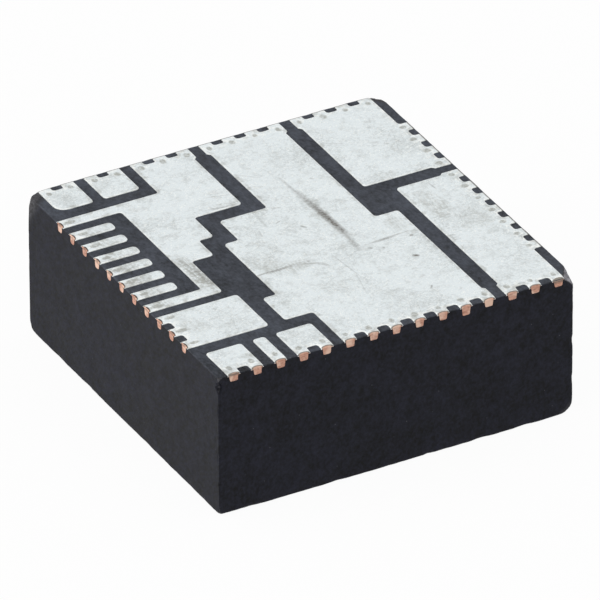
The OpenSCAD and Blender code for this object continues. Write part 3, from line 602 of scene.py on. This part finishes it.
# Each point of the sharp block is held inside a core that is smaller by the radius, then moved out
# by the radius along the way it came. Then come the bites, the broken tips and the fine relief.
def mouldBlock():
    shape = mouldShape
    half = np.array([sideX - shape["inset"], sideY - shape["inset"], bodyTop / 2])
    centre = np.array([0, 0, bodyTop / 2])
    sharp = sharpBlock(half, shape)
    radius = edgeRadius(sharp, half, shape)
    core = sharp.clip(radius - half, half - radius)
    out = sharp - core
    out /= np.maximum(np.linalg.norm(out, axis=-1, keepdims=True), 1e-9)
    solid = core + radius * out
    # The largest share of the way out is 1 on a flat face and less on an edge, where the wear also
    # paints a highlight
    worn = smooth(1 - np.abs(out).max(-1)) * shape["edgeWear"]
    for place, reach, depth in shape["bites"]:
        away = np.linalg.norm(solid + centre - np.array(place), axis=-1)
        ragged = shape["biteRagged"] * latticeNoise(solid, 0.04, 8)
        bite = smooth(shape["biteSpread"] - away / reach + ragged)
        solid = solid - depth * bite[..., None] * out
    solid, gone = brokenTips(solid + centre)
    solid = solid - centre
    worn = np.maximum(worn, gone)
    solid = solid + out * (
        shape["relief"] * (latticeNoise(solid, 0.05, 5) - 1)
        + shape["swell"] * (latticeNoise(solid, 0.7, 6) - 1))[..., None]
    points = np.concatenate([
        (solid + centre).reshape(-1, 3), [[0, 0, 0.0], [0, 0, bodyTop - shape["swell"]]]])
    quads, fans = closedTube(*solid.shape[:2])
    worn = np.concatenate([worn.reshape(-1).clip(0, shape["mostWear"]), [0, 0]])
    return meshPiece("mouldedBlock", points, quads.tolist() + fans.tolist(), {"worn": worn})


block = mouldBlock()
block.data.materials.append(materials["mould_compound"])
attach(block, "root")
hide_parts("moulded_body")
print("moulded block:", len(block.data.polygons), "faces")

# The plated islands. A ring is how far it lies inside the outline and how far below the top. Where
# the saw cut through a lead, the metal is rolled over further, and on the left it has a raised lip.
padShape = {
    # Steps along the outline and on the flat, and how near to the outline the flat's points come
    "wallStep": 0.05, "flatStep": 0.085, "flatClear": 0.3,
    "wobble": 0.0035, "wobbleReach": 0.1,   # of the outline, full at this distance from a sawn face
    "rings": [(0.0, 0.16), (0.0, 0.034), (0.0, 0.028), (0.0015, 0.016), (0.006, 0.006),
              (0.013, 0.0015), (0.021, 0.0)],
    "sawnRings": [(0.022, 0.16), (0.022, 0.064), (0.0, 0.056), (0.006, 0.036), (0.020, 0.018),
                  (0.042, 0.006), (0.075, 0.0)],
    "lipRings": [(0.022, 0.16), (0.022, 0.034), (0.0, 0.028), (0.008, 0.012), (0.026, 0.007),
                 (0.046, 0.024), (0.068, 0.0)],
    "clear": 0.09,      # no other outline points nearer to a sawn face than this
    "swell": 0.0012,        # depth of the wide waves of the flat
    "rimReach": 0.11, "lastRingRim": 0.9,   # width of the rim, and the innermost ring's share in it
    "dentIn": 0.29, "dentAcross": 0.12, "dentAlong": 0.15, "dentAlongLeft": 0.24,
    "dentShift": 0.03, "dentSize": (0.8, 1.15), "dentDepth": 0.006, "dentRings": 6, "dentPoints": 16,
    # The first and last ring of points in a dent, as shares of its half size, and the square of the
    # share up to which the grid keeps clear of it
    "dentFirst": 0.25, "dentLast": 1.05, "dentClear": 1.35,
}
# The sawn end of a lead: a copper bucket, and how each one may differ
endShape = {
    "topWidth": 0.258, "lowWidth": 0.205, "lowDrop": 0.218,
    "topDrop": {"front": 0.014, "left": 0.008, "back": 0.046, "right": 0.046},
    "leftShare": 0.88,   # how wide the ends on the left are beside the others
    "corner": 0.30, "cornerLeft": 0.55, "points": 32, "rings": [1.0, 1.0, 0.93, 0.7, 0.42, 0.18],
    "ringDepth": [0.034, 0.004, 0.0, 0.0, 0.0, 0.0],
    "vary": 0.012,       # how far each measure of an end may differ
    "flare": 1.6,        # the power at which an end widens towards its top
    # Half the depth of the sawn face's waves, which only rings smaller than this share have
    "ruffle": 0.0015, "ruffleWithin": 0.95,
    "odd": {("front", 3): (0.0, 0.045), ("front", 7): (0.045, 0.0)},  # added top and bottom drop
    # A dark band at the top of an end: how far below its top it starts, its fade, and how strong it
    # is on the last leads in front and behind, where it is a smeared burr, and on the left, where it
    # is painted shade
    "burrDrop": 0.07, "burrFade": 0.05, "burrLast": 0.9, "burrLeft": 0.45,
}


# The outline of a node's top face: its points, and for each point the one that follows it with the
# face on the left. An edge of the top triangles is on the outline if its reverse isn't there. A
# triangle is a top one if its corners are within a thousandth of the pads' top.
def topOutline(node):
    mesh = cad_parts[node].data
    mesh.calc_loop_triangles()
    points = np.empty(len(mesh.vertices) * 3)
    mesh.vertices.foreach_get("co", points)
    corners = np.empty(len(mesh.loop_triangles) * 3, int)
    mesh.loop_triangles.foreach_get("vertices", corners)
    keys, index = np.unique(np.round(points.reshape(-1, 3) / mm, 4), axis=0, return_inverse=True)
    triangles = index.reshape(-1)[corners.reshape(-1, 3)]
    triangles = triangles[(keys[triangles][..., 2] > padTop - 0.001).all(1)]
    edges = np.concatenate([triangles[:, [0, 1]], triangles[:, [1, 2]], triangles[:, [2, 0]]])
    codes, reverse = edges @ [len(keys), 1], edges @ [1, len(keys)]
    edges = edges[~np.isin(codes, reverse)]
    used, edges = np.unique(edges, return_inverse=True)
    following = np.empty(len(used), int)
    edges = edges.reshape(-1, 2)
    following[edges[:, 0]] = edges[:, 1]
    return keys[used][:, :2], following


# More points on the outline: each edge is cut in equal parts no longer than step. New ones that come
# close to a sawn face, but not in it, are passed over again.
def finerOutline(points, following, step, clear):
    ends = points[following]
    count = np.maximum(1, np.ceil(np.linalg.norm(ends - points, axis=1) / step)).astype(int)
    first = np.cumsum(count) - count
    edge = np.repeat(np.arange(len(points)), count)
    part = (np.arange(count.sum()) - first[edge]) / count[edge]
    fine = points[edge] + (ends - points)[edge] * part[:, None]
    after = np.arange(len(fine)) + 1
    after[first + count - 1] = first[following]
    toSide = (np.array([sideX, sideY]) - np.abs(fine)).min(1)
    drop = (part > 0) & (toSide > inFace) & (toSide < clear)
    for _ in range(3):  # enough for seven in a row, because each round doubles the jumps
        after = np.where(drop[after], after[after], after)
    place = np.cumsum(~drop) - 1
    return fine[~drop], place[after[~drop]]


# For each point the way inwards that keeps both its edges at distance 1: the sum of their normals
# over 1 plus the normals' product. The divisor is held at 0.4 or more, for very sharp corners.
def inwardWay(points, after):
    ahead = points[after] - points
    ahead /= np.linalg.norm(ahead, axis=1, keepdims=True)
    normal = np.stack([-ahead[:, 1], ahead[:, 0]], -1)
    before = np.empty_like(after)
    before[after] = np.arange(len(after))
    both = normal + normal[before]
    return both / np.maximum(1 + (normal * normal[before]).sum(1, keepdims=True), 0.4)


# Distance of each place to the nearest edge of the outline
def edgeDistance(places, points, after):
    a, d = points, points[after] - points
    rel = places[:, None] - a[None]
    t = ((rel * d).sum(-1) / (d * d).sum(-1)).clip(0, 1)
    return np.linalg.norm(rel - t[..., None] * d, axis=-1).min(1)


# Sawn ends of an island, from the outline's edges that lie in a sawn face: the side, the lead's
# number from the middle of that side, the edge's middle and the way inwards
def sawnEnds(points, following):
    a, b = points, points[following]
    found = []
    sides = [
        ("front", 1, -1, sideY), ("right", 0, 1, sideX),
        ("back", 1, 1, sideY), ("left", 0, -1, sideX),
    ]
    for name, axis, sign, half in sides:
        on = (np.abs(sign * a[:, axis] - half) < inFace) & (np.abs(sign * b[:, axis] - half) < inFace)
        for middle in (a[on] + b[on]) / 2:
            inwards = np.zeros(2)
            inwards[axis] = -sign
            found.append((name, int(round(middle[1 - axis] / leadPitch)), middle, inwards))
    return found


# A copper end is a rounded trapezoid: at angle a the share across is |cos a| to the power corner and
# the share of its height |sin a| to the same power, with their signs. Rings of it shrink to the
# middle of the sawn face, which stays in the side plane, and the first ring closes the back.
def leadEnd(side, number, middle, inwards, seed):
    shape = endShape
    chance = np.random.default_rng(seed)
    higher, lower, lowWider, topWider, aside, lean = chance.uniform(-1, 1, 6) * shape["vary"]
    extraTop, extraLow = shape["odd"].get((side, number), (0.0, 0.0))
    lipped = side == "left"
    top = padTop - shape["topDrop"][side] - extraTop + 0.4 * higher
    low = padTop - shape["lowDrop"] - extraLow + 0.8 * lower
    angle = np.linspace(0, 2 * np.pi, shape["points"], endpoint=False)
    corner = shape["cornerLeft" if lipped else "corner"]
    across = np.sign(np.cos(angle)) * np.abs(np.cos(angle)) ** corner
    up = np.sign(np.sin(angle)) * np.abs(np.sin(angle)) ** corner
    size = np.array(shape["rings"])[:, None]
    z = (top + low) / 2 + (top - low) / 2 * up * size
    share = (z - low) / (top - low)
    flare = (shape["topWidth"] + topWider - shape["lowWidth"]) * share.clip(0, 1) ** shape["flare"]
    width = (shape["lowWidth"] + lowWider + flare) * (shape["leftShare"] if lipped else 1)
    s = across * size * width / 2 + aside + 0.5 * lean * up * size
    depth = np.broadcast_to(np.array(shape["ringDepth"])[:, None], z.shape)
    along = np.array([-inwards[1], inwards[0]])
    flat = middle + s[..., None] * along + depth[..., None] * inwards
    rings = np.concatenate([flat, z[..., None]], -1)
    ruffled = latticeNoise(rings, 0.05, 7) * shape["ruffle"] + shape["ruffle"]
    ruffled = np.where(size < shape["ruffleWithin"], ruffled, 0.0)
    rings[..., :2] += ruffled[..., None] * inwards
    back, front = rings[0].mean(0), rings[-1].mean(0)
    points = np.concatenate([rings.reshape(-1, 3), [back, front]])
    quads, fans = closedTube(len(rings), shape["points"])
    # along x up must point outwards, or the faces are turned
    if np.cross([*along, 0], [0, 0, 1])[:2] @ inwards > 0:
        quads, fans = quads[:, ::-1], fans[:, ::-1]
    # On the left ends the dark band is painted shade, on the last leads a smeared burr
    smeared = shape["burrLeft"] if lipped else 0.0
    if abs(number) == lastLead:
        smeared = shape["burrLast"]
    burr = smooth((points[:, 2] - (top - shape["burrDrop"])) / shape["burrFade"]) * smeared
    return brokenTips(points)[0], quads.tolist() + fans.tolist(), burr


# A place is inside an outline if an odd number of its edges cross the line from there along +X
def insideOutline(places, outline, after):
    a, b = outline, outline[after]
    x, y = places[:, None, 0], places[:, None, 1]
    crosses = (a[:, 1] > y) != (b[:, 1] > y)
    lift = np.where(b[:, 1] == a[:, 1], 1, b[:, 1] - a[:, 1])
    cut = a[:, 0] + (y - a[:, 1]) * (b - a)[:, 0] / lift
    return (crosses & (cut > x)).sum(1) % 2 == 1


# Triangles between the points of a closed outline and loose points inside it
def fillOutline(outline, after, inside):
    places = np.concatenate([outline, inside])
    edges = np.stack([np.arange(len(outline)), after], -1)
    out = delaunay_2d_cdt([Vector(p) for p in places], edges.tolist(), [], 1, 1e-7, True)
    source = np.array([ids[0] for ids in out[3]])
    triangles = source[np.array(out[2])]
    return triangles[insideOutline(places[triangles].mean(1), outline, after)]


# Rings up an island's wall and over its edge. Along X and along Y a point follows the plain rings,
# or those of a sawn face if it lies in one, and on the left those with the lip.
def padRings(points, way, toSide):
    shape = padShape
    sawn = toSide < inFace
    lipped = (sawn[:, 0] & (points[:, 0] < 0))[:, None]
    plain, cut, lip = (np.array(shape[key]) for key in ("rings", "sawnRings", "lipRings"))
    cut = np.where(lipped, lip[:, None], cut[:, None])
    offsets = np.where(sawn, cut[..., :1], plain[:, None, :1])
    drops = np.where(sawn.any(1), cut[..., 1], plain[:, 1:])
    rings = np.concatenate([points + offsets * way, (padTop - drops)[..., None]], -1)
    rings[0, :, 2] = frameBottom
    return rings


# One dent on each lead: its centre, a little off the lead's middle, and its half size. Each dent has
# a random generator of its own, and 200 keeps its seed positive.
def dentsOf(ends, seed):
    shape = padShape
    dents = []
    for side, number, middle, inwards in ends:
        along = shape["dentAlongLeft"] if side == "left" else shape["dentAlong"]
        across = np.abs(inwards[::-1])
        chance = np.random.default_rng(97 * seed + 7 * number + 200 + len(side))
        shift = chance.uniform(-shape["dentShift"], shape["dentShift"], 2)
        centre = middle + inwards * (shape["dentIn"] + shift[0]) + shift[1] * across * 0.5
        half = np.abs(inwards) * along + across * shape["dentAcross"]
        dents.append((centre, half * chance.uniform(*shape["dentSize"])))
    return dents


# Places on the flat of a pad: a grid whose every other row is moved by half a step, and round each
# dent rings of its own
def flatPlaces(inner, after, dents):
    shape = padShape
    step = shape["flatStep"]
    low, high = inner.min(0), inner.max(0)
    grid = np.stack(np.meshgrid(
        np.arange(low[0] + step / 2, high[0], step), np.arange(low[1] + step / 2, high[1], step)), -1)
    grid[1::2, :, 0] += step / 2
    grid = grid.reshape(-1, 2)
    turn = np.linspace(0, 2 * np.pi, shape["dentPoints"], endpoint=False)
    reach = np.linspace(shape["dentFirst"], shape["dentLast"], shape["dentRings"])[:, None]
    rings = np.stack([reach * np.cos(turn), reach * np.sin(turn)], -1)
    spots = []
    for centre, half in dents:
        spots.append(np.concatenate([(rings * half + centre).reshape(-1, 2), [centre]]))
        grid = grid[(((grid - centre) / half) ** 2).sum(1) > shape["dentClear"]]
    inside = np.concatenate([grid, *spots])
    inside = inside[insideOutline(inside, inner, after)]
    return inside[edgeDistance(inside, inner, after) > shape["flatClear"] * step]


# How deep in a dent each place is: smoothstep of dentLast less the place's distance from the dent's
# middle, in half sizes
def dentShare(places, dents):
    share = np.zeros(len(places))
    for centre, half in dents:
        away = np.sqrt((((places - centre) / half) ** 2).sum(1))
        share = np.maximum(share, smooth(padShape["dentLast"] - away))
    return share


# An island as closed surfaces: rings for its wall and rounded edge, triangles for its top and its
# underside, and a copper end on each sawn lead. Gives points, faces and the shares for the finish.
def island(node, seed):
    shape = padShape
    rough, following = topOutline(node)
    ends = sawnEnds(rough, following)
    points, after = finerOutline(rough, following, shape["wallStep"], shape["clear"])
    way = inwardWay(points, after)
    toSide = np.array([sideX, sideY]) - np.abs(points)
    wobble = shape["wobble"] * latticeNoise(np.c_[points, np.zeros(len(points))], 0.12, 11)
    points = points + way * (wobble * smooth(toSide.min(1) / shape["wobbleReach"]))[:, None]
    rings = padRings(points, way, toSide)
    inner = rings[-1, :, :2]
    dents = dentsOf(ends, seed)
    inside = flatPlaces(inner, after, dents)
    dented = dentShare(inside, dents)
    flat = np.c_[inside, np.zeros(len(inside))]
    z = padTop - shape["dentDepth"] * dented - shape["swell"] * (1 + latticeNoise(flat, 0.35, 12)) / 2
    # Where a tip of the block is lost, so is the metal on it
    rings = brokenTips(rings)[0]
    flatPoints = brokenTips(np.c_[inside, z])[0]
    allPoints = np.concatenate([rings.reshape(-1, 3), flatPoints])
    lastRing, ringsEnd = (len(rings) - 1) * len(points), len(rings) * len(points)
    walls = tubeQuads(len(rings), after)
    top = fillOutline(inner, after, inside) + lastRing
    under = fillOutline(rings[0, :, :2], after, np.zeros((0, 2)))[:, ::-1]
    faces = walls.tolist() + top.tolist() + under.tolist()
    # Three shares of each point: how much it is rim, dent, and dark band of burr and painted shade
    shares = np.zeros((len(allPoints), 3))
    shares[:lastRing, 0] = 1
    shares[lastRing:ringsEnd, 0] = shape["lastRingRim"]
    shares[ringsEnd:, 0] = smooth(1 - edgeDistance(inside, inner, after) / shape["rimReach"])
    shares[ringsEnd:, 1] = dented
    for count, (side, number, middle, inwards) in enumerate(ends):
        endPoints, endFaces, burr = leadEnd(side, number, middle, inwards, seed * 31 + count)
        first = len(allPoints)
        faces += [[first + corner for corner in face] for face in endFaces]
        allPoints = np.concatenate([allPoints, endPoints])
        shares = np.concatenate([shares, np.c_[np.zeros((len(burr), 2)), burr]])
    return allPoints, faces, dict(zip(("rim", "dent", "burr"), shares.T))


padNodes = [name for name in sorted(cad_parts) if "_pad" in name]
for seed, node in enumerate(padNodes):
    name = "plated" + "".join(word.capitalize() for word in node.split("_"))
    pad = meshPiece(name, *island(node, seed))
    pad.data.materials.append(materials["tinned_lead_frame"])
    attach(pad, "root")
    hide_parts(node)
print("plated islands:", len(padNodes))

# The sealed pieces keep their CAD meshes and take the finish of their slot
finishOf = {
    "inductor_core_cup": "ferrite", "inductor_core_plate": "ferrite", "inductor_coil": "coil_wire",
    "controller_die": "silicon", "low_side_switch_die": "silicon", "high_side_switch_die": "silicon",
    "die_attach_film": "die_attach", "switch_clip": "bare_copper", "input_clip": "bare_copper",
    "input_capacitors": "ceramic", "output_capacitors": "ceramic", "small_capacitors": "ceramic",
    "input_capacitor_ends": "plated_ends", "output_capacitor_ends": "plated_ends",
    "small_capacitor_ends": "plated_ends", "resistor_ends": "plated_ends",
    "resistors": "resistor_body", "bond_wires": "bond_wire", "solder_joints": "solder",
}
for node, slot in finishOf.items():
    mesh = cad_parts[node].data
    mesh.materials.clear()
    mesh.materials.append(materials[slot])
print("sealed pieces finished:", len(finishOf))

# Floor, lamps, world and camera. A lamp's level is how bright it alone makes a white surface that
# faces it, so the power in watts is level times pi squared times the distance in metres squared.
studio = {
    "floorHalf": 400.0, "floorCells": 8, "floorWhite": 0.86, "floorGlow": 0.95,
    "worldSeen": 1.0, "worldSoft": 0.55,
    "lamps": [
        ("keyLamp", (-230, 20, 200), 420.0, 0.40),
        ("fillLamp", (-40, -270, 150), 300.0, 0.10),
        ("topLamp", (60, -20, 320), 400.0, 0.18),
    ],
}


# 1 for rays from the camera, from a mirror or through glass, which are to see a white background
def seenDirectly(start):
    path = start.node("LightPath", {}, {}, out="Is Camera Ray")
    outputs = path.socket.node.outputs
    others = [Sock(start.tree, outputs[key]) for key in ("Is Glossy Ray", "Is Transmission Ray")]
    return path.most(others[0]).most(others[1])


def floorMaterial():
    material, shader, place = newMaterial("paleFloor")
    tree = material.node_tree
    tone = studio["floorWhite"] + 0.02 * grain(place, 0.05, 2.0, 0.5)
    pale = tone.node("CombineColor", {}, {0: tone, 1: tone, 2: tone})
    link(shader, colour=pale, rough=0.9, metal=0.0)
    glow = place.node("Emission", {}, {"Color": (1, 1, 1, 1), "Strength": 1.0})
    mixed = place.node("MixShader", {}, {
        0: seenDirectly(place) * studio["floorGlow"], 1: Sock(tree, shader.outputs[0]), 2: glow})
    output = next(n for n in tree.nodes if n.type == "OUTPUT_MATERIAL")
    tree.links.new(mixed.socket, output.inputs[0])
    return material


cells = studio["floorCells"]
lines = cells + 1
span = np.linspace(-studio["floorHalf"], studio["floorHalf"], lines)
floorX, floorY = np.meshgrid(span, span)
floorPoints = np.stack([floorX, floorY, np.zeros_like(floorX)], -1).reshape(-1, 3)
corner = (np.arange(cells)[:, None] * lines + np.arange(cells)).reshape(-1)
floorFaces = np.stack([corner, corner + 1, corner + lines + 1, corner + lines], -1)
floor = meshPiece("floor", floorPoints, floorFaces.tolist())
floor.data.materials.append(floorMaterial())

scene = bpy.context.scene
world = bpy.data.worlds.new("studioWorld")
scene.world = world
world.use_nodes = True
world.node_tree.nodes.clear()
sky = Sock(world.node_tree, None)
strength = studio["worldSoft"] + (studio["worldSeen"] - studio["worldSoft"]) * seenDirectly(sky)
backdrop = sky.node("Background", {}, {"Color": (1, 1, 1, 1), "Strength": strength})
worldOutput = world.node_tree.nodes.new("ShaderNodeOutputWorld")
world.node_tree.links.new(backdrop.socket, worldOutput.inputs[0])

for name, place, size, level in studio["lamps"]:
    light = bpy.data.lights.new(name, "AREA")
    lamp = bpy.data.objects.new(name, light)
    scene.collection.objects.link(lamp)
    lamp.location = Vector(place) * mm
    aim = Vector((0, 0, bodyTop / 2)) * mm - lamp.location
    lamp.rotation_euler = aim.to_track_quat("-Z", "Y").to_euler()
    light.shape, light.size, light.energy = "DISK", size * mm, level * (math.pi * aim.length) ** 2

# The camera as it was worked out from the photo's corners: a long lens from the front left. In
# degrees, its heading is turned from +Y towards +X, its tilt is down from level, and its roll is
# about the line of sight.
camera = {
    "aim": (0.0765, 0.1158, 2.0), "distance": 347.207,
    "heading": 28.576, "tilt": 31.557, "roll": -0.2543,
    "lens": 837.32, "sensor": 36.0,
}
eye = bpy.data.cameras.new("camera")
eye.lens, eye.sensor_width = camera["lens"], camera["sensor"]
eye.clip_start, eye.clip_end = 0.01, 20.0
viewer = bpy.data.objects.new("camera", eye)
scene.collection.objects.link(viewer)
turns = ((-camera["heading"], "Z"), (90 - camera["tilt"], "X"), (camera["roll"], "Z"))
first, second, third = (Matrix.Rotation(math.radians(angle), 4, axis) for angle, axis in turns)
back = Matrix.Translation((0, 0, camera["distance"] * mm))
viewer.matrix_world = Matrix.Translation(Vector(camera["aim"]) * mm) @ first @ second @ third @ back
scene.camera = viewer
scene.view_settings.view_transform = "Standard"
print("studio and camera set")
